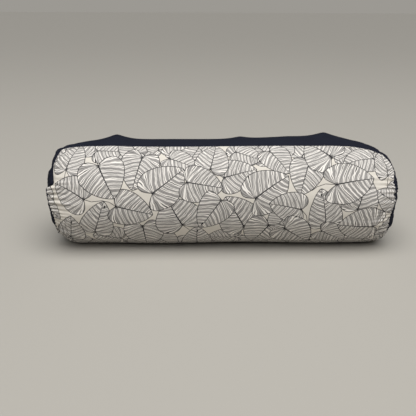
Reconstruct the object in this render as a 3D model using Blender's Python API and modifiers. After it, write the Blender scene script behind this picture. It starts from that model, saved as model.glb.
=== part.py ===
"""Round yoga bolster lying on the floor, in metres, +Z up, long axis along X, front towards -Y.

One filled solid carries the plain back panel. A printed panel is sewn over its front, and a
round panel closes each end. The origin is on the floor, under the middle of the bolster.
"""

from math import asin, atan2, copysign, cos, degrees, exp, hypot, pi, radians, sin

import bmesh
import bpy
from mathutils import Vector

# Overall size
LENGTH = 0.660
RADIUS = 0.0995
AXIS_HEIGHT = 0.0970            # lower than RADIUS, so the underside is pressed flat on the floor

# How the tube and its ends are filled out
END_BULGE = 0.018               # how far the middle of an end stands out past its seam
END_FULLNESS = 3.6              # above 2 keeps the middle of an end flat and its rim round
LEFT_DRAW_IN = (0.0090, 0.090)  # how much smaller an end seam is, and the length that it draws in
RIGHT_DRAW_IN = (0.0155, 0.105)
DRAW_IN_CURVE = 2.2             # above 1 leaves most of the drawing in close to the seam
SWELL = 0.0012                  # gentle unevenness of the filling

# Cloth
CLOTH = 0.0018                  # thickness of a sewn-on panel
GAP = 0.0003                    # clearance between touching pieces
SEAM_SETBACK = 0.0007           # a panel stops this far from an end seam
SEAM_GROOVE = 0.014             # the back panel dips towards an end seam over this length

# Facets
AROUND = 52
STEP = 360.0 / AROUND
RINGS = 44
END_START = 17 / 22             # an end begins this far from the middle ring to the pole

# Where the long seams run, each on a line of the mesh; angles go round the tube in degrees,
# from 0 at the front to 90 on top
TOP_SEAM = 11 * STEP
FLOOR_EDGE = -10 * STEP
SEAM_RAMP = STEP                # the back panel rises to the front panel's level over this angle

# Slack ridges in the back panel: place along X, angle, half length along X, half angle, height
RIDGES = (
    (-0.205, 114.0, 0.024, 24.0, 0.0085),
    (0.040, 114.0, 0.016, 20.0, 0.0035),
    (0.195, 114.0, 0.018, 24.0, 0.0070),
    (0.120, 120.0, 0.130, 34.0, 0.0065),
)

# The front panel puckers out past the left end seam here: angle, half angle, distance
LEFT_PUCKER = (14.0, 13.0, 0.011)

CREAM = (0.800, 0.760, 0.680, 1.0)
NAVY = (0.018, 0.021, 0.033, 1.0)
ROUGHNESS = 0.9


def hump(value, centre, half_width):
    """A smooth rise from 0 to 1 and back, centred on centre."""
    return exp(-(((value - centre) / half_width) ** 2))


def smooth(value):
    """An eased step from 0 to 1."""
    value = min(1.0, max(0.0, value))
    return value * value * (3.0 - 2.0 * value)


def turned(angle):
    """The angle counted up from the front panel's lower edge, so that the back has no jump."""
    return angle + 360.0 if angle < FLOOR_EDGE - 0.1 else angle


def seam_station(side, angle):
    """Distance from the middle to an end seam; side is -1 on the left and 1 on the right."""
    place, half_angle, distance = LEFT_PUCKER
    pucker = distance * hump(angle, place, half_angle) if side < 0.0 else 0.0
    return LENGTH / 2.0 - END_BULGE + pucker


def tube_radius(x, angle):
    """Radius of the filled tube: drawn in at the ends, gently uneven, with its slack ridges."""
    to_seam = LENGTH / 2.0 - END_BULGE - abs(x)
    depth, length = LEFT_DRAW_IN if x < 0.0 else RIGHT_DRAW_IN
    drawn = depth * (1.0 - min(1.0, max(0.0, to_seam / length))) ** DRAW_IN_CURVE
    uneven = SWELL * sin(21.0 * x + 0.8) * sin(radians(2.0 * angle) + 0.4)
    ridges = sum(height * hump(x, place, half_x) * hump(turned(angle), centre, half_angle)
                 for place, centre, half_x, half_angle, height in RIDGES)
    return RADIUS - drawn + uneven + ridges


def back_lift(x, angle):
    """The back panel is level with the sewn-on front panel, except in the groove of a seam."""
    past_top_seam = (turned(angle) - TOP_SEAM) / SEAM_RAMP
    before_floor_edge = (FLOOR_EDGE + 360.0 - turned(angle)) / SEAM_RAMP
    to_end_seam = (LENGTH / 2.0 - END_BULGE - abs(x)) / SEAM_GROOVE
    return (CLOTH + GAP) * smooth(min(past_top_seam, before_floor_edge)) * smooth(to_end_seam)


def around(x, reach, angle):
    """The point at this distance and angle from the axis, pressed flat where it meets the floor."""
    turn = radians(angle)
    return Vector((x, -reach * cos(turn), max(0.0, AXIS_HEIGHT + reach * sin(turn))))


def tube_point(along, angle, setback=SEAM_SETBACK, lifted=False):
    """A point of the tube; along runs from -END_START to END_START, between the end seams."""
    place = along / END_START
    x = (seam_station(along, angle) - setback) * place * (1.3 - 0.3 * place * place)
    lift = back_lift(x, angle) if lifted else 0.0
    return around(x, tube_radius(x, angle) + lift, angle)


def end_point(along, angle, setback=SEAM_SETBACK):
    """A point of an end; along runs on from END_START at the seam to 1 at its middle."""
    side = copysign(1.0, along)
    seam = seam_station(side, angle)
    rim = tube_radius(side * seam, angle)
    share = sin((1.0 - abs(along)) / (1.0 - END_START) * pi / 2.0) * (1.0 - setback / rim)
    x = side * (LENGTH / 2.0 - (LENGTH / 2.0 - seam) * share ** END_FULLNESS)
    return around(x, rim * share, angle)


def outside(along, angle):
    """A point of the filled body."""
    if abs(along) < END_START + 1e-4:
        return tube_point(along, angle, setback=0.0, lifted=True)
    return end_point(along, angle, setback=0.0)


def place_on_sphere(vertex):
    """How far along the axis and at what angle a vertex of the unit sphere stands."""
    unit = vertex.co
    along = -asin(max(-1.0, min(1.0, unit.z))) / (pi / 2.0)
    angle = degrees(atan2(unit.y, unit.x)) if hypot(unit.x, unit.y) > 1e-6 else 0.0
    return along, angle


def wrapped_sphere(belongs, point):
    """The part of a sphere primitive where belongs(along, angle) holds, moved to point(...)."""
    mesh = bmesh.new()
    bmesh.ops.create_uvsphere(mesh, u_segments=AROUND, v_segments=RINGS, radius=1.0)
    places = {vertex: place_on_sphere(vertex) for vertex in mesh.verts}
    spare = [face for face in mesh.faces
             if not all(belongs(*places[vertex]) for vertex in face.verts)]
    bmesh.ops.delete(mesh, geom=spare, context="FACES")
    for vertex in mesh.verts:
        vertex.co = point(*places[vertex])
    return mesh


def add_object(name, mesh, material, collection):
    """Make the mesh an object of the collection."""
    data = bpy.data.meshes.new(name)
    mesh.to_mesh(data)
    mesh.free()
    data.materials.append(material)
    data.shade_smooth()
    thing = bpy.data.objects.new(name, data)
    collection.objects.link(thing)
    return thing


def cotton(name, colour):
    """Plain woven cotton."""
    material = bpy.data.materials.new(name)
    material.use_nodes = True
    shader = material.node_tree.nodes["Principled BSDF"]
    shader.inputs["Base Color"].default_value = colour
    shader.inputs["Roughness"].default_value = ROUGHNESS
    shader.inputs["Metallic"].default_value = 0.0
    return material


def make_body(collection):
    """The filled bolster, whose outside is the back panel."""
    mesh = wrapped_sphere(everywhere, outside)
    return add_object("bolster_body", mesh, cotton("navy_body", NAVY), collection)


def make_panel(name, colour, belongs, point, collection):
    """A sheet of cloth over the part of the bolster where belongs(along, angle) holds."""
    mesh = wrapped_sphere(belongs, point)
    panel = add_object(name, mesh, cotton(name + "_cotton", colour), collection)
    raise_off_body(panel)
    thickness = panel.modifiers.new("cloth", "SOLIDIFY")
    thickness.thickness = CLOTH
    thickness.offset = 1.0
    return panel


def raise_off_body(panel):
    """Move an open sheet outwards along its own normals, by the gap."""
    outward = [vertex.normal.copy() for vertex in panel.data.vertices]
    for vertex, normal in zip(panel.data.vertices, outward):
        vertex.co += normal * GAP


def centre_on_floor(collection):
    """Put the middle of the whole bolster's box over the origin."""
    bpy.context.view_layer.update()
    depsgraph = bpy.context.evaluated_depsgraph_get()
    corners = [vertex.co for thing in collection.objects
               for vertex in thing.evaluated_get(depsgraph).data.vertices]
    for axis in (0, 1):
        middle = (min(co[axis] for co in corners) + max(co[axis] for co in corners)) / 2.0
        for thing in collection.objects:
            thing.location[axis] = -middle


def everywhere(along, angle):
    """True all over the bolster."""
    return True


def on_front(along, angle):
    """True on the tube between the top seam and the panel's edge at the floor."""
    return abs(along) < END_START + 1e-4 and FLOOR_EDGE - 0.1 < angle < TOP_SEAM + 0.1


def on_left_end(along, angle):
    """True from the left end seam to the middle of that end."""
    return along < 1e-4 - END_START


def on_right_end(along, angle):
    """True from the right end seam to the middle of that end."""
    return along > END_START - 1e-4


def main():
    """Build the four pieces."""
    for thing in list(bpy.data.objects):
        bpy.data.objects.remove(thing, do_unlink=True)
    collection = bpy.data.collections.new("yoga_bolster")
    bpy.context.scene.collection.children.link(collection)
    make_body(collection)
    make_panel("front_panel", CREAM, on_front, tube_point, collection)
    make_panel("end_left", NAVY, on_left_end, end_point, collection)
    make_panel("end_right", NAVY, on_right_end, end_point, collection)
    centre_on_floor(collection)


main()
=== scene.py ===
"""Yoga bolster in cotton canvas, lying on a pale floor; metres, +Z up, long axis along X.

Leaf-printed canvas covers the front, which faces -Y. Navy canvas covers the back and is the outside
of the filled body, and a round navy panel closes each end. Angles go round the bolster in degrees,
from 0 at the front to 90 on top. The print is laid out on the cloth in millimetres.
"""
from math import cos, hypot, pi, radians, sin

import bmesh
import bpy
import numpy as np
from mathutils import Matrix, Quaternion, Vector


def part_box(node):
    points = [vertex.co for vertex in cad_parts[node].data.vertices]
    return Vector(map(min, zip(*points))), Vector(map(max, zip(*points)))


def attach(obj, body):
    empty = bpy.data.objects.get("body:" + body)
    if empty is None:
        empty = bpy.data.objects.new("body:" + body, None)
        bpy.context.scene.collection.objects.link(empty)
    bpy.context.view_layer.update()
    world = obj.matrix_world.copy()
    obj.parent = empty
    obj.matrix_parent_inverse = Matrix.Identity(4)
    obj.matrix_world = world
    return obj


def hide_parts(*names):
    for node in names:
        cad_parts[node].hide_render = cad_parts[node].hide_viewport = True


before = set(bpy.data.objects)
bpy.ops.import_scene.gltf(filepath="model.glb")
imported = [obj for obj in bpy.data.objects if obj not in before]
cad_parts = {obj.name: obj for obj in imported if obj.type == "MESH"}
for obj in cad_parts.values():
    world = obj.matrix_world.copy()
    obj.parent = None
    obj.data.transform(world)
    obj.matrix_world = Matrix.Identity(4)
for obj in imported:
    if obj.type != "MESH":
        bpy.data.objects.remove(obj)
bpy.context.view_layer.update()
BODY_LOW, BODY_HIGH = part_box("bolster_body")
MM = 0.001

# The filled tube, as the frame has it
LENGTH = BODY_HIGH.x - BODY_LOW.x
MIDDLE_X = (BODY_HIGH.x + BODY_LOW.x) / 2.0
RADIUS = 0.0995
FRONT_SWELL = 0.0007                # how far the filling swells past its radius at the front
AXIS_Y = BODY_LOW.y + RADIUS + FRONT_SWELL
AXIS_HEIGHT = 0.0970                # lower than RADIUS, so the underside is pressed flat
END_BULGE = 0.018                   # how far the middle of an end stands out past its seam
END_FULLNESS = 3.6                  # above 2 keeps the middle of an end flat and its rim round
END_HOLLOW = 1.6                    # how much an end sinks just inside a seam that is pulled out
HOLLOW_SLOPE = 0.4                  # how far the hollow's wall leans in, as a share of its depth
# The end seams are smaller than the tube: by how much at the front and how much more on top, then
# the length that draws in at the front and how much longer it is on top; the floor has less of both
LEFT_DRAW_IN = (0.0140, -0.0025, 0.050, 0.012)
RIGHT_DRAW_IN = (0.0140, 0.0085, 0.070, 0.020)
RIGHT_END_OUT = 0.0030              # the right end bulges this much further than the left one
DRAW_IN_CURVE = 2.2                 # above 1 leaves most of the drawing in close to the seam
SWELL = 0.0012                      # gentle unevenness of the filling
SEAM_X = LENGTH / 2.0 - END_BULGE

# Slack ridges in the back panel and a dip: place along X, angle, half length along X, half angle,
# height
RIDGES = (
    (-0.207, 114.0, 0.026, 24.0, 0.0127),
    (0.036, 114.0, 0.020, 20.0, 0.0050),
    (0.204, 114.0, 0.026, 24.0, 0.0108),
    (0.130, 118.0, 0.120, 34.0, 0.0080),
    (-0.287, 112.0, 0.036, 24.0, -0.0058),
)
PEAK = 1.4                          # below 2 makes a ridge come to a peak

# How far the end seams stand out from an even line: angle round the bolster, distance in mm
LEFT_SEAM = (
    (-180, 0), (-110, 2), (-79, 3.5), (-50, 5), (-34, 4.5), (-24, 3.4),
    (-19, 4), (-8, 6.5), (0, 8.8), (3, 10.3), (10, 11.2),
    (16, 12.5), (20, 13.5), (23, 12), (26, 0), (30, -0.5), (38, 1), (52, 2.5), (62, 0), (76, -4.7),
    (100, -5), (140, 0), (180, 0),
)
RIGHT_SEAM = (
    (-180, 0), (-110, 2), (-79, 2.5), (-60, 3), (-39, 4.5), (-30, 4), (-24, 2.5), (-17, 1.8), (-11, 2.5),
    (-3, 5.7), (6, 8.5), (10, 8.2), (13, 4.5), (16, 8), (22, 7.5), (26, 8), (28, 4), (31, 7), (35, 7),
    (43, 9.5), (52, 8), (66, 4.5), (71, 1), (76, 0), (100, -2), (140, 0), (180, 0),
)

# Cloth and seams
TOP_SEAM = 76.15                    # angle of the seam along the top
FLOOR_EDGE = -79.0                  # angle of the print's lower edge, beside the flat underside
CLOTH = 0.0012                      # thickness
LEVEL = 0.0021                      # the outside of the cloth stands this far off the filling
UNDER = 0.0002                      # the filling under a sewn-on panel
FLOOR_GAP = 0.0015                  # room for the front panel between the filling and the floor
SEAM_DEPTH = 0.0019                 # the stitches pull the cloth in by this much
SEAM_WIDTH = 0.0030                 # to each side of a seam
STITCH_GAP = 0.0003                 # the print stops this far from an end seam
FLAT_ROUNDING = 0.0005              # how softly the cloth leaves the floor

# Small gathers at the end seams: how many go round, their height, how far from the seam they are
# highest, how far they pull the seam line, and their least share
GATHERS = 68
GATHER_HEIGHT = 0.0022
GATHER_REACH = 0.009
GATHER_SEAM = 0.0005
GATHER_LEAST = 0.30
END_GATHERS = 0.6                   # how high they are on the round ends, as a share
# Where there are more of them: angle, half angle, share
LEFT_GATHERS = ((10.0, 16.0, 0.7), (-50.0, 26.0, 1.1))
RIGHT_GATHERS = ((-48.0, 28.0, 1.2), (20.0, 16.0, 0.4))

# The simulation that gathers the cloth at its end seams
CUT_RADIUS = 0.1015                 # the tube and the round ends as cut
SETTLE_ROWS = 131
SETTLE_END_ROWS = 20
SETTLE_COLUMNS = 168
SETTLE_FRAMES = 20
START_UNEVENNESS = 0.00025
FOLD_LIMIT = 0.0024                 # no point moves further than this
FOLD_REACH = 0.035                  # the folds fade over this distance from an end seam
SLACK_SHARE = 0.12                  # what is left of them along the middle

# Mesh
PANEL_ROWS = 241
PANEL_COLUMNS = 187
END_ROWS = 41
END_COLUMNS = 240
BODY_ROWS = 261
BODY_END_ROWS = 24
BODY_STEP = 1.5                     # degrees
SEAM_STEPS = (0.0, 0.3, 0.6, 1.0, 1.5, 2.1, 2.8)    # degrees from the top seam
HAIR = 0.15                         # degrees between an edge of the back panel and the seam
PRINT_RADIUS = 101.4                # mm, turns an angle into a length of cloth

# One leaf of the print: half widths along it, from its stem's end to its tip, both as shares
LEAF_OUTLINE = (
    (0.0, 0.0), (-0.07, 0.17), (-0.13, 0.38), (-0.14, 0.60), (-0.09, 0.82), (0.03, 0.97),
    (0.2, 1.02), (0.4, 0.95), (0.6, 0.78), (0.8, 0.50), (0.93, 0.22), (1.0, 0.0),
)
FULLNESS = 1.10                     # how much fuller than its width below a leaf is drawn

# The leaves of the print in millimetres on the cloth, lowest first: stem's end, tip, width, and how
# far its two lobes reach back past the stem's end, as a multiple of the outline's
LEAVES = (
    (-128, -62, -92, -118, 60, 1.2), (112, -18, 88, -52, 50, 1.0), (242, 112, 206, 88, 44, 1.0),
    (335, 36, 300, 20, 44, 1.0), (-356, 46, -314, 14, 42, 1.0), (-348, 14, -302, -27, 44, 1.0),
    (-235, 116, -186, 112, 56, 0.8), (-160, 112, -190, 165, 52, 1.0),
    (-121, 118, -118, 170, 42, 1.0), (-97, 104, -45, 140, 52, 1.0), (48, 150, 30, 112, 45, 1.0),
    (104, 140, 130, 105, 45, 1.0), (290, 130, 260, 170, 45, 1.0), (-100, 97, -48, 73, 48, 1.0),
    (245, -4, 262, 62, 62, 1.0), (-150, 100, -167, 33, 64, 1.5), (23, 112, 70, 92, 50, 1.0),
    (86, 114, 119, 64, 54, 1.0), (-1, 56, 60, 72, 58, 1.1), (157, 86, 139, 24, 58, 1.0),
    (282, 104, 219, 82, 52, 0.9), (-194, -76, -246, -64, 62, 1.3), (-150, -38, -147, -105, 66, 1.7),
    (24, -74, -32, -70, 56, 1.3), (38, -40, 2, 22, 72, 1.5), (-288, 74, -267, 134, 54, 1.4),
    (307, 66, 303, 135, 48, 1.0), (325, 5, 281, 33, 48, 1.0), (-254, 17, -309, 48, 62, 1.0),
    (-241, -56, -218, 14, 56, 0.6), (-291, -80, -280, -14, 50, 1.0), (-197, 4, -130, -12, 62, 0.9),
    (-76, -35, -103, 18, 82, 1.7), (-229, 80, -199, 18, 78, 1.3), (-130, 28, -73, 74, 70, 1.7),
    (-25, 72, -13, 132, 56, 0.8), (-68, 48, -2, 37, 62, 1.0), (-49, -105, -49, -38, 52, 1.0),
    (-5, 16, -45, -42, 56, 0.5), (57, 19, 118, 60, 72, 1.8), (142, -3, 82, 9, 54, 0.9),
    (84, -36, 55, -95, 72, 1.3), (115, -46, 163, -88, 70, 1.8), (190, -36, 177, 37, 56, 0.6),
    (184, -52, 232, -86, 52, 1.2), (281, -42, 212, -36, 74, 2.0), (199, 102, 158, 140, 84, 1.8),
    (205, 44, 276, 56, 70, 2.2), (327, -44, 296, -92, 46, 1.4),
)
# Two rows behind them: one along the top seam, and one that turns under the bolster
LEAVES = tuple(
    (u, 98, u + 34 * (-1) ** n, 148, 58, 1.0) for n, u in enumerate(range(-312, 330, 57))
) + tuple(
    (u, -84, u + 26 * (-1) ** n, -138, 62, 1.3) for n, u in enumerate(range(-300, 330, 52))
) + LEAVES

# Stems, each a run of points in millimetres on the cloth
STEMS = (
    ((-288, 74), (-290, 52)), ((-254, 17), (-240, 13), (-220, 15)),
    ((-229, 80), (-237, 98), (-238, 112), (-240, 124)), ((-197, 4), (-208, 12), (-222, 15)),
    ((-68, 48), (-80, 48)), ((-76, -35), (-62, -50)), ((115, -46), (100, -38), (84, -37)),
    ((142, -3), (152, -15), (155, -30), (162, -38)), ((199, 102), (218, 88)),
    ((205, 44), (185, 45), (170, 40), (160, 33)), ((307, 66), (303, 40)),
)
# Dark drops on midribs: place and direction of the point, in millimetres on the cloth
DROPS = (
    ((-218, 1), (-217, 6)), ((-281, -31), (-280, -26)), ((-38, -30), (-42, -34)),
    ((-49, -54), (-49, -49)), ((178, 22), (177, 27)), ((295, 23), (291, 26)),
)
STEM_HALF = 0.55                    # mm, half the width of a stem
DROP_HALF = 1.3
STROKE_REACH = 6.0                  # mm, how far from a stroke its place is written

# How the leaves are drawn
MOST_BEND = 0.10                    # of a midrib, as a share of its length
MOST_LEAN = 0.3                     # how uneven a leaf's two lobes are
LINE_ROOM = 0.7                     # mm on both sides of an outline, for its line
OUTSIDE = -99.0                     # stands for a place that is in no leaf, or by no stroke
COVERED = 9                         # stands for a place that shows nothing of the leaves below
BLADE_VEINS = 7.5                   # from the stem's end to the tip, on each side
LOBE_VEINS = 2.6                    # for each radian round the stem's end
VEIN_SWEEP = 0.29                   # how far veins lean towards the tip at a leaf's edge
HATCH_LINES = 4.0                   # in one space between two veins

# Inks and dyes
GROUND = "#cfc9bf"                  # unbleached, between the leaves
BARE = "#e6e1da"                    # whiter, between the lines inside a leaf
GREY = "#5f5d5c"
INK = "#1c1b1f"
NAVY = ("#161822", "#1d202b")       # where the dye took most and least
THREAD_SPACING = 1.2                # mm


def hump(value, centre, half_width):
    """A smooth rise from 0 to 1 and back, centred on centre."""
    return np.exp(-(((value - centre) / half_width) ** 2))


def turned(angle):
    """The angle counted up from the front panel's lower edge, so that the back has no jump."""
    return np.where(angle < FLOOR_EDGE - 0.1, angle + 360.0, angle)


def seam_station(side, angle):
    """Distance from the middle to an end seam; side is negative on the left."""
    within = (angle + 180.0) % 360.0 - 180.0
    left, right = (np.interp(within, *zip(*line)) for line in (LEFT_SEAM, RIGHT_SEAM))
    ripple = GATHER_SEAM * gather_strength(side, angle) * np.cos(gather_turn(angle))
    return SEAM_X + np.where(side < 0.0, left, right) * MM + ripple


def gather_turn(angle):
    """How far round the uneven run of small gathers has come at an angle."""
    turn = np.radians(angle)
    return GATHERS * turn + 2.2 * np.sin(5.0 * turn + 1.0) + 1.3 * np.sin(11.0 * turn + 2.0)


def gather_strength(side, angle):
    """How strongly the cloth is gathered into an end seam, at an angle."""
    left, right = (
        GATHER_LEAST + sum(share * hump(angle, place, half) for place, half, share in places)
        for places in (LEFT_GATHERS, RIGHT_GATHERS)
    )
    return np.where(side < 0.0, left, right)


def gather_rise(side, angle, distance, level):
    """Height of the small gathers at a distance from an end seam; the filling keeps under them."""
    fade = distance / GATHER_REACH * np.exp(1.0 - distance / GATHER_REACH)
    wave = np.where(level < LEVEL, -1.0, np.sin(gather_turn(angle)))
    return GATHER_HEIGHT * gather_strength(side, angle) * fade * wave


def filled_radius(x, angle):
    """Radius of the filled tube: drawn in at the ends and gently uneven."""
    on_top = np.sin(np.radians(angle))
    depth, more_depth, length, more_length = (
        np.where(x < 0.0, left, right) for left, right in zip(LEFT_DRAW_IN, RIGHT_DRAW_IN)
    )
    inwards = (SEAM_X - abs(x)) / (length + more_length * on_top)
    drawn = (depth + more_depth * on_top) * (1.0 - np.clip(inwards, 0.0, 1.0)) ** DRAW_IN_CURVE
    uneven = SWELL * np.sin(21.0 * x + 0.8) * np.sin(np.radians(2.0 * angle) + 0.4)
    return RADIUS - drawn + uneven


def tube_radius(x, angle):
    """The filled radius with the slack ridges on it."""
    ridges = sum(height * np.exp(-abs((x - place) / half_x) ** PEAK)
                 * hump(turned(angle), centre, half_angle)
                 for place, centre, half_x, half_angle, height in RIDGES)
    return filled_radius(x, angle) + ridges


def seam_groove(distance):
    """How far the cloth is pulled in by the stitches, this far from a seam."""
    return SEAM_DEPTH * hump(distance, 0.0, SEAM_WIDTH)


def around(x, reach, angle):
    """Points at this distance and angle from the axis."""
    turn = np.radians(angle)
    return np.stack(np.broadcast_arrays(MIDDLE_X + x, AXIS_Y - reach * np.cos(turn),
                                        AXIS_HEIGHT + reach * np.sin(turn)), -1)


def pressed(points, lowest=0.0):
    """The points with the underside pressed flat, softly rounded where it leaves the floor."""
    height = (points[..., 2] - lowest) / FLAT_ROUNDING
    points[..., 2] = lowest + FLAT_ROUNDING * np.logaddexp(0.0, height)
    return points


def spread(length, place):
    """Distance along X of a place from -1 to 1, closer together near both ends of the length."""
    return length * place * (1.3 - 0.3 * place * place)


def tube_x(place, angle):
    """Distance along X of a place on the tube."""
    return spread(seam_station(place, angle) - STITCH_GAP, place)


def dome_x(side, share, seam, level):
    """How far out an end stands, from its middle at share 0 to its seam at 1."""
    furthest = LENGTH / 2.0 + (RIGHT_END_OUT if side > 0.0 else 0.0)
    return furthest + level - (furthest - seam) * share ** END_FULLNESS


def cubic(position, count, closed):
    """Row numbers and weights that read a smooth value between rows."""
    base = np.floor(position).astype(int)
    t = position - base
    weights = (0.5 * (-t + 2 * t ** 2 - t ** 3), 0.5 * (2 - 5 * t ** 2 + 3 * t ** 3),
               0.5 * (t + 4 * t ** 2 - 3 * t ** 3), 0.5 * (t ** 3 - t ** 2))
    for step, weight in zip((-1, 0, 1, 2), weights):
        row = base + step
        yield (row % count if closed else np.clip(row, 0, count - 1)), weight


def read_field(field, row, angle):
    """The field's smooth value at row numbers (a column) and angles (a row)."""
    columns = np.asarray(angle).ravel() / 360.0 * field.shape[1]
    total = 0.0
    for at_row, row_weight in cubic(np.asarray(row).ravel(), field.shape[0], False):
        for at_column, column_weight in cubic(columns, field.shape[1], True):
            weight = row_weight[:, None] * column_weight[None, :]
            total = total + weight[..., None] * field[at_row[:, None], at_column[None, :]]
    return total


def folded(points, fold, angle):
    """The points moved by folds, given as distances along X, outwards and round."""
    turn = np.radians(angle)
    outwards = np.stack([0.0 * turn, -np.cos(turn), np.sin(turn)], -1)
    sideways = np.stack([0.0 * turn, np.sin(turn), np.cos(turn)], -1)
    points = points + fold[..., 1:2] * outwards + fold[..., 2:3] * sideways
    points[..., 0] += fold[..., 0]
    return points


def tube_points(place, angle, level, folds, lowest=0.0):
    """Points of the tube; place runs from -1 to 1 between the end seams."""
    x = tube_x(place, angle)
    to_end_seam = seam_station(place, angle) - abs(x)
    to_top_seam = np.radians(abs(angle - TOP_SEAM)) * RADIUS
    reach = tube_radius(x, angle) + level - seam_groove(to_end_seam) - seam_groove(to_top_seam)
    reach = reach + gather_rise(place, angle, to_end_seam, level)
    fold = read_field(folds["tube"], (place + 1.0) / 2.0 * (len(folds["tube"]) - 1), angle)
    return pressed(folded(around(x, reach, angle), fold, angle), lowest)


def end_points(side, share, angle, level, folds):
    """Points of an end; share runs from 0 at its middle to 1 at its seam."""
    seam = seam_station(side, angle)
    rim = tube_radius(side * seam, angle) + level
    groove = seam_groove((1.0 - share) * rim)
    x = dome_x(side, share, seam, level) - groove
    x = x + END_GATHERS * gather_rise(side, angle, (1.0 - share) * rim, level)
    sunk = END_HOLLOW * (seam - SEAM_X) * share ** 8 * (1.0 - share ** 30)
    x = x - sunk
    reach = share * (rim - groove) - HOLLOW_SLOPE * np.maximum(sunk, 0.0)
    field = folds["left" if side < 0.0 else "right"]
    fold = read_field(field, np.arcsin(share) / (pi / 2.0) * (len(field) - 1), angle)
    return pressed(folded(around(side * x, reach, angle), fold, angle))


def settled_folds():
    """The folds that the cut cloth makes when it is sewn to its smaller ends and filled.

    Each is a field of distances along X, outwards and round, over rows of the tube or of an end.
    """
    angle = np.linspace(0.0, 360.0, SETTLE_COLUMNS, endpoint=False)[None, :]
    place = np.linspace(-1.0, 1.0, SETTLE_ROWS)[:, None]
    share = np.sin(np.linspace(0.0, pi / 2.0, SETTLE_END_ROWS))[:, None]
    x = spread(SEAM_X, place)
    tube = around(x, filled_radius(x, angle) + LEVEL, angle)
    cut_tube = around(x, CUT_RADIUS + 0.0 * angle, angle)
    ends, cut_ends = [], []
    for side in (-1.0, 1.0):
        rim = filled_radius(side * SEAM_X, angle) + LEVEL
        ends.append(around(side * dome_x(side, share, SEAM_X, LEVEL), share * rim, angle))
        cut_ends.append(around(side * (SEAM_X + 0.0 * share), share * CUT_RADIUS + 0.0 * angle, angle))
    start = np.concatenate([ends[0][:-1], tube, ends[1][-2::-1]])
    cut = np.concatenate([cut_ends[0][:-1], cut_tube, cut_ends[1][-2::-1]])
    moved = settle(start, cut) - start
    turn = np.radians(angle)
    along = moved[..., 0]
    outwards = -moved[..., 1] * np.cos(turn) + moved[..., 2] * np.sin(turn)
    round_it = moved[..., 1] * np.sin(turn) + moved[..., 2] * np.cos(turn)
    # the even swelling is taken out, because the filled form already has it
    field = np.stack([part - part.mean(1, keepdims=True) for part in (along, outwards, round_it)], -1)
    field = FOLD_LIMIT * np.tanh(field / FOLD_LIMIT)
    last = SETTLE_END_ROWS - 1
    near_seam = np.exp(-(SEAM_X - abs(x)) / FOLD_REACH)
    field[last:last + SETTLE_ROWS] *= (SLACK_SHARE + (1.0 - SLACK_SHARE) * near_seam)[..., None]
    return {"tube": field[last:last + SETTLE_ROWS], "left": field[:last + 1],
            "right": field[:-last - 2:-1]}


def settle(start, cut):
    """Fill the sewn cloth by simulation, held at its end seams; start and cut are point grids."""
    thing = grid_object("settling_cloth", start, start[..., :2], closed=True)
    thing.shape_key_add(name="Basis")
    sizes = thing.shape_key_add(name="cut")
    sizes.data.foreach_set("co", cut.ravel())
    columns = start.shape[1]
    seams = [SETTLE_END_ROWS - 1, len(start) - SETTLE_END_ROWS]
    sewn = thing.vertex_groups.new(name="sewn")
    sewn.add([row * columns + at for row in seams for at in range(columns)], 1.0, "REPLACE")
    chance = np.random.default_rng(3)
    rough = start + chance.normal(0.0, START_UNEVENNESS, start.shape)
    for row in seams:
        rough[row] = start[row]
    thing.data.vertices.foreach_set("co", rough.ravel())
    thing.data.shape_keys.key_blocks["Basis"].data.foreach_set("co", rough.ravel())
    cloth = thing.modifiers.new("cloth", "CLOTH")
    cloth.settings.rest_shape_key = thing.data.shape_keys.key_blocks["cut"]
    cloth.settings.quality = 8
    cloth.settings.mass = 0.3
    cloth.settings.tension_stiffness = 40.0
    cloth.settings.compression_stiffness = 40.0
    cloth.settings.shear_stiffness = 10.0
    cloth.settings.bending_stiffness = 0.05
    cloth.settings.vertex_group_mass = "sewn"
    cloth.settings.use_pressure = True
    cloth.settings.uniform_pressure_force = 4.0
    cloth.settings.effector_weights.gravity = 0.0
    cloth.collision_settings.use_collision = False
    scene = bpy.context.scene
    for frame_number in range(1, SETTLE_FRAMES + 1):
        scene.frame_set(frame_number)
    settled = thing.evaluated_get(bpy.context.evaluated_depsgraph_get()).data
    points = np.empty(start.size)
    settled.vertices.foreach_get("co", points)
    scene.frame_set(1)
    bpy.data.objects.remove(thing, do_unlink=True)
    return points.reshape(start.shape)


def cloth_lengths():
    """Distance from the middle as measured along the cloth, at each distance along X."""
    past_seam = 0.02
    x = np.linspace(-SEAM_X - past_seam, SEAM_X + past_seam, 801)
    steps = np.hypot(np.diff(x), np.diff(tube_radius(x, 0.0 * x)))
    length = np.concatenate([[0.0], np.cumsum(steps)])
    return x, (length - np.interp(0.0, x, length)) / MM


def on_cloth(points, angle):
    """Where the points lie on the uncut tube cloth, in millimetres: along and round it."""
    x, length = cloth_lengths()
    along = np.interp(points[..., 0] - MIDDLE_X, x, length)
    return np.stack([along, np.radians(angle) * PRINT_RADIUS + 0.0 * along], -1)


def grid_object(name, points, cloth, closed=False):
    """A mesh over a grid of points that keeps each point's place on the cloth."""
    rows, columns = points.shape[:2]
    number = np.arange(rows * columns).reshape(rows, columns)
    if closed:
        number = np.hstack([number, number[:, :1]])
    faces = np.stack([number[:-1, :-1], number[:-1, 1:], number[1:, 1:], number[1:, :-1]], -1)
    data = bpy.data.meshes.new(name)
    data.from_pydata(points.reshape(-1, 3).tolist(), [], faces.reshape(-1, 4).tolist())
    place = data.attributes.new("cloth", "FLOAT_VECTOR", "POINT")
    flat = np.concatenate([cloth.reshape(-1, 2), np.zeros((rows * columns, 1))], 1)
    place.data.foreach_set("vector", flat.ravel())
    thing = bpy.data.objects.new(name, data)
    bpy.context.scene.collection.objects.link(thing)
    return thing


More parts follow.
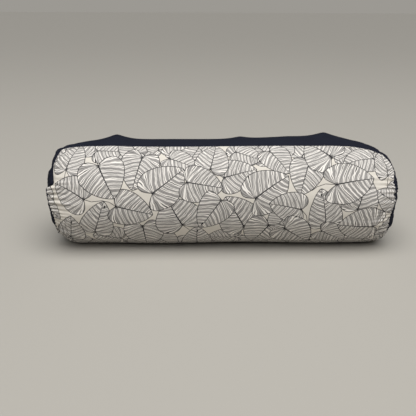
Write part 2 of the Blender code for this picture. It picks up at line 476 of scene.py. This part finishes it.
def cleaned(thing):
    """Close the poles, turn every face outwards and shade the mesh smooth."""
    mesh = bmesh.new()
    mesh.from_mesh(thing.data)
    bmesh.ops.remove_doubles(mesh, verts=mesh.verts, dist=1e-7)
    bmesh.ops.recalc_face_normals(mesh, faces=mesh.faces)
    mesh.to_mesh(thing.data)
    mesh.free()
    thing.data.shade_smooth()
    return thing


def thickened(thing):
    """Give a sheet its thickness inwards, as real mesh."""
    thickness = thing.modifiers.new("cloth", "SOLIDIFY")
    thickness.thickness = CLOTH
    thickness.offset = -1.0
    depsgraph = bpy.context.evaluated_depsgraph_get()
    solid = bpy.data.meshes.new_from_object(thing.evaluated_get(depsgraph))
    thing.modifiers.clear()
    thing.data = solid
    return thing


def make_body(folds):
    """The filled bolster, whose outside is the navy back panel."""
    fine = np.array(SEAM_STEPS)
    last = 360.0 + FLOOR_EDGE
    back = np.arange(TOP_SEAM + 4.0, last - 1.0, BODY_STEP)
    front = np.arange(FLOOR_EDGE + 2.0, TOP_SEAM - 3.0, BODY_STEP)
    angle = np.concatenate([front, TOP_SEAM - fine[::-1], TOP_SEAM + HAIR + fine, back, [last - HAIR]])
    past = (angle > TOP_SEAM + 0.1).astype(float)
    level = UNDER + (LEVEL - UNDER) * past
    lowest = FLOOR_GAP * (1.0 - past)
    place = np.linspace(-1.0, 1.0, BODY_ROWS)[:, None]
    tube = tube_points(place, angle[None, :], level, folds, lowest)
    share = np.sin(np.linspace(0.0, pi / 2.0, BODY_END_ROWS))[:, None]
    left = end_points(-1.0, share, angle[None, :], UNDER, folds)
    right = end_points(1.0, share[::-1], angle[None, :], UNDER, folds)
    points = np.concatenate([left, tube, right])
    cloth = on_cloth(points, angle[None, :])
    body = cleaned(grid_object("navy_body", points, cloth, closed=True))
    body.data.materials.append(navy_canvas())
    return body


def make_front_panel(folds):
    """The leaf-printed panel."""
    place = np.linspace(-1.0, 1.0, PANEL_ROWS)[:, None]
    angle = np.linspace(FLOOR_EDGE, TOP_SEAM, PANEL_COLUMNS)[None, :]
    points = tube_points(place, angle, LEVEL, folds)
    panel = cleaned(grid_object("printed_front", points, on_cloth(points, angle)))
    thickened(panel)
    print_leaves(panel.data)
    panel.data.materials.append(printed_canvas())
    return panel


def make_end(side, name, folds):
    """The round navy panel of one end."""
    share = np.sin(np.linspace(0.0, pi / 2.0, END_ROWS))[:, None]
    angle = np.linspace(-180.0, 180.0, END_COLUMNS, endpoint=False)[None, :]
    points = end_points(side, share, angle, LEVEL, folds)
    panel = cleaned(grid_object(name, points, points[..., 1:] / MM, closed=True))
    thickened(panel)
    panel.data.materials.append(navy_canvas())
    return panel


def rounded(corners, steps=6):
    """A smooth curve through the corners."""
    corners = np.array(corners, float)
    held = np.vstack([2.0 * corners[0] - corners[1], corners, 2.0 * corners[-1] - corners[-2]])
    t = np.linspace(0.0, 1.0, steps, endpoint=False)[:, None]
    runs = []
    for a, b, c, d in zip(held, held[1:], held[2:], held[3:]):
        runs.append(0.5 * (2 * b + (c - a) * t + (2 * a - 5 * b + 4 * c - d) * t ** 2
                           + (3 * b - a - 3 * c + d) * t ** 3))
    return np.vstack(runs + [corners[-1:]])


def inside_distance(points, loop):
    """Distance to the loop's nearest edge, positive inside it."""
    nearest = np.full(len(points), 1e9)
    inside = np.zeros(len(points), bool)
    for a, b in zip(loop, np.roll(loop, -1, 0)):
        run = b - a
        along = np.clip((points - a) @ run / (run @ run), 0.0, 1.0)
        nearest = np.minimum(nearest, np.hypot(*(points - a - along[:, None] * run).T))
        if a[1] != b[1]:
            crossing = (a[1] > points[:, 1]) != (b[1] > points[:, 1])
            inside ^= crossing & (points[:, 0] < a[0] + (points[:, 1] - a[1]) * run[0] / run[1])
    return np.where(inside, nearest, -nearest)


def leaf_places(cloth, leaf, bend, lean):
    """Each point's place in one leaf: share along it, share across it, distance inside its edge."""
    stem_end, tip = np.array(leaf[:2], float), np.array(leaf[2:4], float)
    width, lobes = leaf[4:]
    length = hypot(*(tip - stem_end))
    along = (tip - stem_end) / length
    across = np.array([-along[1], along[0]])
    places = np.stack([(cloth - stem_end) @ along, (cloth - stem_end) @ across], -1)
    share = places[:, 0] / length
    places[:, 1] += bend * length * share * (1.0 - share)
    half = rounded(LEAF_OUTLINE) * (length, width / 2.0 * FULLNESS)
    lobe = half[:, :1] < 0.0
    near_side = half * np.where(lobe, (lobes * (1.0 + lean), 1.0), (1.0, 1.0))
    far_side = half * np.where(lobe, (lobes * (1.0 - lean), -1.0), (1.0, -1.0))
    loop = np.vstack([near_side, far_side[-2:0:-1]])
    near = (abs(places[:, 0] - length / 2.0) < 1.1 * length) & (abs(places[:, 1]) < 0.75 * width)
    edge = np.full(len(cloth), OUTSIDE)
    edge[near] = inside_distance(places[near], loop)
    return np.column_stack([share, places[:, 1] / (width / 2.0), edge])


def stem_strokes():
    """Every straight bit of stem and drop: start, end and half width."""
    strokes = [(a, b, STEM_HALF) for run in STEMS for a, b in zip(run, run[1:])]
    return strokes + [(a, b, DROP_HALF) for a, b in DROPS]


def print_leaves(data):
    """Write on each face corner where it is in the leaves printed there, topmost first."""
    cloth = np.empty(len(data.vertices) * 3)
    data.attributes["cloth"].data.foreach_get("vector", cloth)
    cloth = cloth.reshape(-1, 3)[:, :2]
    corners = np.empty(len(data.loops), int)
    data.loops.foreach_get("vertex_index", corners)
    faces = corners.reshape(-1, 4)
    chance = np.random.default_rng(5)
    bends = chance.uniform(-MOST_BEND, MOST_BEND, len(LEAVES))
    leans = chance.uniform(-MOST_LEAN, MOST_LEAN, len(LEAVES))
    layers = np.full((3, len(faces), 4, 3), OUTSIDE)
    used = np.zeros(len(faces), int)
    for leaf, bend, lean in reversed(list(zip(LEAVES, bends, leans))):
        places = leaf_places(cloth, leaf, bend, lean)[faces]
        most = places[:, :, 2].max(1)
        for layer in range(3):
            takes = (used == layer) & (most > -LINE_ROOM)
            layers[layer][takes] = places[takes]
        used[most > -LINE_ROOM] += 1
        used[places[:, :, 2].min(1) > LINE_ROOM] = COVERED
    for layer, name in zip(layers, ("leaf_top", "leaf_mid", "leaf_low")):
        made = data.attributes.new(name, "FLOAT_VECTOR", "CORNER")
        made.data.foreach_set("vector", layer.ravel())
    write_strokes(data, cloth, faces)


def write_strokes(data, cloth, faces):
    """Write on each face corner its place by the nearest stroke: along, across, half width."""
    nearest = np.full(len(faces), 1e9)
    best = np.full((len(faces), 4, 3), OUTSIDE)
    middle = cloth[faces].mean(1)
    for start, end, half in stem_strokes():
        start, run = np.array(start, float), np.array(end, float) - np.array(start, float)
        length = hypot(*run)
        along = (cloth - start) @ run / length ** 2
        across = (cloth - start) @ np.array([-run[1], run[0]]) / length
        t = np.clip((middle - start) @ run / length ** 2, 0.0, 1.0)
        distance = np.hypot(*(middle - start - t[:, None] * run).T) - half
        takes = (distance < nearest) & (distance < STROKE_REACH)
        nearest[takes] = distance[takes]
        places = np.column_stack([along, across, np.full(len(cloth), half)])[faces]
        best[takes] = places[takes]
    made = data.attributes.new("stroke", "FLOAT_VECTOR", "CORNER")
    made.data.foreach_set("vector", best.ravel())


def linear(code):
    """Linear colour of an sRGB hex code."""
    parts = [int(code[at:at + 2], 16) / 255.0 for at in (1, 3, 5)]
    return [p / 12.92 if p < 0.04045 else ((p + 0.055) / 1.055) ** 2.4 for p in parts] + [1.0]


def add(tree, kind, inputs, **settings):
    """Add a node; inputs maps a socket to a value, or to the node or socket that feeds it."""
    node = tree.nodes.new(kind)
    for name, value in settings.items():
        setattr(node, name, value)
    for name, value in inputs.items():
        if isinstance(value, bpy.types.Node):
            value = value.outputs[0]
        if isinstance(value, bpy.types.NodeSocket):
            tree.links.new(value, node.inputs[name])
        else:
            node.inputs[name].default_value = value
    return node


def new_material(name):
    """An empty material: its tree and its cloth shader."""
    material = bpy.data.materials.new(name)
    material.use_nodes = True
    return material, material.node_tree, material.node_tree.nodes["Principled BSDF"]


def leaf_drawing():
    """How one printed leaf is drawn, from a place in it; used for each of the three layers."""
    tree = bpy.data.node_groups.new("leaf_drawing", "ShaderNodeTree")
    for name, kind in (("Place", "NodeSocketVector"), ("Cloth", "NodeSocketVector")):
        tree.interface.new_socket(name, in_out="INPUT", socket_type=kind)
    for name in ("Inside", "Grey", "Ink"):
        tree.interface.new_socket(name, in_out="OUTPUT", socket_type="NodeSocketFloat")
    given = add(tree, "NodeGroupInput", {})
    cloth = given.outputs["Cloth"]
    math = "ShaderNodeMath"
    place = add(tree, "ShaderNodeSeparateXYZ", {0: given.outputs["Place"]})
    along, across, edge = place.outputs
    off = add(tree, math, {0: across}, operation="ABSOLUTE")
    half = add(tree, math, {0: across, 1: 0.0}, operation="GREATER_THAN")
    side = add(tree, math, {0: off, 1: 0.5, 2: 0.002}, operation="MULTIPLY_ADD")
    count = vein_numbers(tree, cloth, along, off, side, half)
    grey, line = vein_stripes(tree, cloth, count, off, half)
    # the veins run together into a dark spot where the stem joins
    spot = add(tree, "ShaderNodeCombineXYZ", {0: along, 1: side})
    reach = add(tree, "ShaderNodeVectorMath", {0: spot}, operation="LENGTH").outputs["Value"]
    spot = add(tree, "ShaderNodeMapRange", {"Value": reach, "From Min": 0.09, "From Max": 0.03,
                                            "To Max": 0.75}, interpolation_type="SMOOTHSTEP")
    rim = add(tree, math, {0: edge}, operation="ABSOLUTE")
    rim = add(tree, "ShaderNodeMapRange", {"Value": rim, "From Min": 0.90, "From Max": 0.50},
              interpolation_type="SMOOTHSTEP")
    # the midrib thins towards the tip
    taper = add(tree, math, {0: along, 1: -0.020, 2: 0.033}, operation="MULTIPLY_ADD")
    rib = add(tree, math, {0: off, 1: taper}, operation="SUBTRACT")
    rib = add(tree, "ShaderNodeMapRange", {"Value": rib, "From Min": 0.006, "From Max": -0.006},
              interpolation_type="SMOOTHSTEP")
    on_rib = add(tree, math, {0: along, 1: -0.03}, operation="GREATER_THAN")
    rib = add(tree, math, {0: rib.outputs["Result"], 1: on_rib}, operation="MULTIPLY")
    ink = add(tree, math, {0: line, 1: rim}, operation="MAXIMUM")
    ink = add(tree, math, {0: ink, 1: spot}, operation="MAXIMUM")
    ink = add(tree, math, {0: ink, 1: rib}, operation="MAXIMUM")
    inside = add(tree, math, {0: edge, 1: -0.5}, operation="GREATER_THAN")
    add(tree, "NodeGroupOutput", {"Inside": inside, "Grey": grey, "Ink": ink})
    return tree


def vein_numbers(tree, cloth, along, off, side, half):
    """Counts the veins of a leaf: a whole number on each vein, and fractions between them."""
    math = "ShaderNodeMath"
    swept = add(tree, math, {0: off, 1: 1.35}, operation="POWER")
    vein = add(tree, math, {0: swept, 1: -VEIN_SWEEP, 2: along}, operation="MULTIPLY_ADD")
    # veins of the blade are evenly spaced; those of the two lobes spread from the stem's end
    blade = add(tree, math, {0: vein, 1: 0.0}, operation="MAXIMUM")
    back = add(tree, math, {0: vein, 1: -1.0}, operation="MULTIPLY")
    back = add(tree, math, {0: back, 1: 0.0}, operation="MAXIMUM")
    fan = add(tree, math, {0: back, 1: side}, operation="ARCTAN2")
    fan = add(tree, math, {0: fan, 1: -LOBE_VEINS}, operation="MULTIPLY")
    count = add(tree, math, {0: blade, 1: BLADE_VEINS, 2: fan}, operation="MULTIPLY_ADD")
    # the two sides of a leaf have their veins in turn, and a hand drew them a little unevenly
    count = add(tree, math, {0: half, 1: 0.5, 2: count}, operation="MULTIPLY_ADD")
    wobble = add(tree, "ShaderNodeTexNoise", {"Vector": cloth, "Scale": 0.08, "Detail": 1.0})
    count = add(tree, math, {0: wobble, 1: 0.45, 2: count}, operation="MULTIPLY_ADD")
    wave = add(tree, math, {0: count, 1: 2.3}, operation="MULTIPLY")
    wave = add(tree, math, {0: wave}, operation="SINE")
    return add(tree, math, {0: wave, 1: 0.08, 2: count}, operation="MULTIPLY_ADD")


def vein_stripes(tree, cloth, count, off, half):
    """The grey hatching between a leaf's veins, and the inky line along each vein."""
    math = "ShaderNodeMath"
    # from 0 on a vein, with bare cloth on both sides, to 1 in the middle of the hatching between two
    swing = add(tree, math, {0: count, 1: 0.5}, operation="PINGPONG")
    swing = add(tree, math, {0: swing, 1: 2.0}, operation="MULTIPLY")
    # each stripe keeps its own width along its length, and differs from leaf to leaf
    stripe = add(tree, "ShaderNodeCombineXYZ", {0: count, 1: off, 2: half})
    drift = (0.02, 0.02, 0.0)
    stripe = add(tree, "ShaderNodeVectorMath", {0: cloth, 1: drift, 2: stripe},
                 operation="MULTIPLY_ADD")
    uneven = add(tree, "ShaderNodeTexNoise", {"Vector": stripe, "Scale": 1.3, "Detail": 1.0})
    swing = add(tree, math, {0: uneven, 1: 0.50, 2: swing}, operation="MULTIPLY_ADD")
    swing = add(tree, math, {0: swing, 1: 0.25}, operation="SUBTRACT")
    band = add(tree, "ShaderNodeMapRange", {"Value": swing, "From Min": 0.39, "From Max": 0.51},
               interpolation_type="SMOOTHSTEP")
    line = add(tree, "ShaderNodeMapRange", {"Value": swing, "From Min": 0.15, "From Max": 0.04,
                                            "To Max": 0.95}, interpolation_type="SMOOTHSTEP")
    hatch = add(tree, math, {0: count, 1: 2.0 * pi * HATCH_LINES}, operation="MULTIPLY")
    hatch = add(tree, math, {0: hatch}, operation="COSINE")
    hatch = add(tree, math, {0: hatch, 1: 0.18, 2: 0.82}, operation="MULTIPLY_ADD")
    return add(tree, math, {0: hatch, 1: band}, operation="MULTIPLY"), line


def printed_leaves(tree, cloth):
    """The three layers of leaves: how grey and how inky the print is, and whether a leaf is there."""
    drawing = leaf_drawing()
    grey, ink, printed = None, None, 0.0
    for name in ("leaf_low", "leaf_mid", "leaf_top"):
        place = add(tree, "ShaderNodeAttribute", {}, attribute_name=name).outputs["Vector"]
        leaf = add(tree, "ShaderNodeGroup", {}, node_tree=drawing)
        tree.links.new(place, leaf.inputs["Place"])
        tree.links.new(cloth, leaf.inputs["Cloth"])
        inside = leaf.outputs["Inside"]
        grey = add(tree, "ShaderNodeMix", {0: inside, 2: grey or 0.0, 3: leaf.outputs["Grey"]})
        ink = add(tree, "ShaderNodeMix", {0: inside, 2: ink or 0.0, 3: leaf.outputs["Ink"]})
        printed = add(tree, "ShaderNodeMath", {0: inside, 1: printed}, operation="MAXIMUM")
    return grey, ink, printed


def printed_stems(tree):
    """Where a stem or a drop is printed."""
    math = "ShaderNodeMath"
    stroke = add(tree, "ShaderNodeAttribute", {}, attribute_name="stroke").outputs["Vector"]
    along, across, half = add(tree, "ShaderNodeSeparateXYZ", {0: stroke}).outputs
    off = add(tree, math, {0: across}, operation="ABSOLUTE")
    off = add(tree, math, {0: off, 1: half}, operation="SUBTRACT")
    stem = add(tree, "ShaderNodeMapRange", {"Value": off, "From Min": 0.15, "From Max": -0.15},
               interpolation_type="SMOOTHSTEP").outputs["Result"]
    on_run = add(tree, math, {0: along, 1: 0.5, 2: 0.53}, operation="COMPARE")
    return add(tree, math, {0: stem, 1: on_run}, operation="MULTIPLY")


def printed_canvas():
    """Cotton canvas, plain woven, unbleached and screen printed: matt cream with inky leaves."""
    material, tree, shader = new_material("screen_printed_cotton_canvas")
    math = "ShaderNodeMath"
    cloth = add(tree, "ShaderNodeAttribute", {}, attribute_name="cloth").outputs["Vector"]
    grey, ink, printed = printed_leaves(tree, cloth)
    ink = add(tree, math, {0: ink, 1: printed_stems(tree)}, operation="MAXIMUM")
    # the grey ink is a little thin in places
    worn = add(tree, "ShaderNodeTexNoise", {"Vector": cloth, "Scale": 0.05, "Detail": 3.0})
    worn = add(tree, "ShaderNodeMapRange", {"Value": worn, "From Min": 0.3, "From Max": 0.7,
                                            "To Min": 0.84, "To Max": 1.0})
    grey = add(tree, math, {0: grey, 1: worn.outputs["Result"]}, operation="MULTIPLY")
    bare = add(tree, "ShaderNodeMix", {0: printed, 6: linear(GROUND), 7: linear(BARE)},
               data_type="RGBA").outputs[2]
    shaded = add(tree, "ShaderNodeMix", {0: grey, 6: bare, 7: linear(GREY)},
                 data_type="RGBA").outputs[2]
    colour = add(tree, "ShaderNodeMix", {0: ink, 6: shaded, 7: linear(INK)},
                 data_type="RGBA").outputs[2]
    tree.links.new(colour, shader.inputs["Base Color"])
    shader.inputs["Roughness"].default_value = 0.9
    shader.inputs["Specular IOR Level"].default_value = 0.25
    add_weave(tree, cloth, shader)
    return material


def navy_canvas():
    """Cotton canvas, plain woven and piece dyed navy: nearly black, matt, with a faint bloom."""
    known = bpy.data.materials.get("piece_dyed_cotton_canvas")
    if known:
        return known
    material, tree, shader = new_material("piece_dyed_cotton_canvas")
    cloth = add(tree, "ShaderNodeAttribute", {}, attribute_name="cloth").outputs["Vector"]
    cloudy = add(tree, "ShaderNodeTexNoise", {"Vector": cloth, "Scale": 0.03, "Detail": 4.0})
    colour = add(tree, "ShaderNodeMix", {0: cloudy, 6: linear(NAVY[0]), 7: linear(NAVY[1])},
                 data_type="RGBA").outputs[2]
    tree.links.new(colour, shader.inputs["Base Color"])
    shader.inputs["Roughness"].default_value = 0.9
    shader.inputs["Specular IOR Level"].default_value = 0.12
    add_weave(tree, cloth, shader)
    return material


def add_weave(tree, cloth, shader):
    """Plain weave, drawn twice as coarse as real canvas so that its threads show."""
    math = "ShaderNodeMath"
    wide, high, _ = add(tree, "ShaderNodeSeparateXYZ", {0: cloth}).outputs
    warp = add(tree, math, {0: wide, 1: 2.0 * pi / THREAD_SPACING}, operation="MULTIPLY")
    weft = add(tree, math, {0: high, 1: 2.0 * pi / THREAD_SPACING}, operation="MULTIPLY")
    warp = add(tree, math, {0: warp}, operation="SINE")
    weft = add(tree, math, {0: weft}, operation="SINE")
    over = add(tree, math, {0: warp, 1: weft}, operation="MULTIPLY")
    slub = add(tree, "ShaderNodeTexNoise", {"Vector": cloth, "Scale": 0.35, "Detail": 3.0})
    height = add(tree, math, {0: slub, 1: 1.5, 2: over}, operation="MULTIPLY_ADD")
    bump = add(tree, "ShaderNodeBump", {"Height": height, "Strength": 0.25, "Distance": 0.0003})
    tree.links.new(bump.outputs["Normal"], shader.inputs["Normal"])


def make_floor():
    """A plain pale floor that reaches to the horizon."""
    bpy.ops.mesh.primitive_plane_add(size=60.0)
    floor = bpy.context.object
    floor.name = "floor"
    material, _, shader = new_material("pale_matt_floor")
    shader.inputs["Base Color"].default_value = linear("#a5a199")
    shader.inputs["Roughness"].default_value = 0.7
    floor.data.materials.append(material)


def make_light():
    """Soft light from a wide panel above and in front, even daylight, and a pale room."""
    panel = bpy.data.lights.new("soft_panel", "AREA")
    panel.size = 3.0
    panel.energy = 62.0
    lamp = bpy.data.objects.new("soft_panel", panel)
    lamp.location = (0.2, -0.9, 3.2)
    lamp.rotation_euler = (radians(15.0), 0.0, 0.0)
    bpy.context.scene.collection.objects.link(lamp)
    daylight = bpy.data.lights.new("even_daylight", "SUN")
    daylight.angle = radians(75.0)
    daylight.energy = 2.8
    sky = bpy.data.objects.new("even_daylight", daylight)
    sky.rotation_euler = (radians(24.0), radians(3.0), 0.0)
    bpy.context.scene.collection.objects.link(sky)
    world = bpy.data.worlds.new("pale_room")
    world.use_nodes = True
    tree = world.node_tree
    room = tree.nodes["Background"]
    room.inputs["Color"].default_value = linear("#eef0f2")
    room.inputs["Strength"].default_value = 0.08
    # the far wall is as pale as the floor in front of it, but lights nothing
    wall = add(tree, "ShaderNodeBackground", {"Color": linear("#9c9993"), "Strength": 1.0})
    seen = add(tree, "ShaderNodeLightPath", {}).outputs["Is Camera Ray"]
    both = add(tree, "ShaderNodeMixShader", {0: seen, 1: room, 2: wall})
    tree.links.new(both.outputs[0], tree.nodes["World Output"].inputs["Surface"])
    bpy.context.scene.world = world


def make_camera():
    """The camera stands in front, a little above and to the left, and looks below the middle."""
    target = Vector((0.0, 0.0, 0.101))
    distance, elevation, azimuth, roll = 1.134, radians(17.86), radians(-2.73), radians(0.27)
    aside, below = 0.0237, 0.0332
    right = Vector((cos(azimuth), sin(azimuth), 0.0))
    back = Vector((sin(azimuth) * cos(elevation), -cos(azimuth) * cos(elevation), sin(elevation)))
    up = back.cross(right)
    aim = target - distance * (aside * right + below * up)
    data = bpy.data.cameras.new("camera")
    data.sensor_width = 36.0
    data.lens = 49.3
    camera = bpy.data.objects.new("camera", data)
    camera.location = target + distance * back
    camera.rotation_mode = "QUATERNION"
    look = (aim - camera.location).to_track_quat("-Z", "Y")
    camera.rotation_quaternion = look @ Quaternion((0.0, 0.0, 1.0), roll)
    bpy.context.scene.collection.objects.link(camera)
    bpy.context.scene.camera = camera


def declare(body, front, left, right):
    """Hang each piece on the root body and hide the part of model.glb that it stands for."""
    for piece, node, slot in ((body, "bolster_body", "navy_canvas"),
                              (front, "front_panel", "leaf_print_canvas"),
                              (left, "end_left", "navy_canvas"),
                              (right, "end_right", "navy_canvas")):
        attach(piece, "root")
        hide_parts(node)


def main():
    """Make the bolster and the studio round it."""
    bpy.context.scene.view_settings.view_transform = "Standard"
    make_camera()
    folds = settled_folds()
    body = make_body(folds)
    front = make_front_panel(folds)
    left = make_end(-1.0, "navy_end_left", folds)
    right = make_end(1.0, "navy_end_right", folds)
    declare(body, front, left, right)
    make_floor()
    make_light()


main()
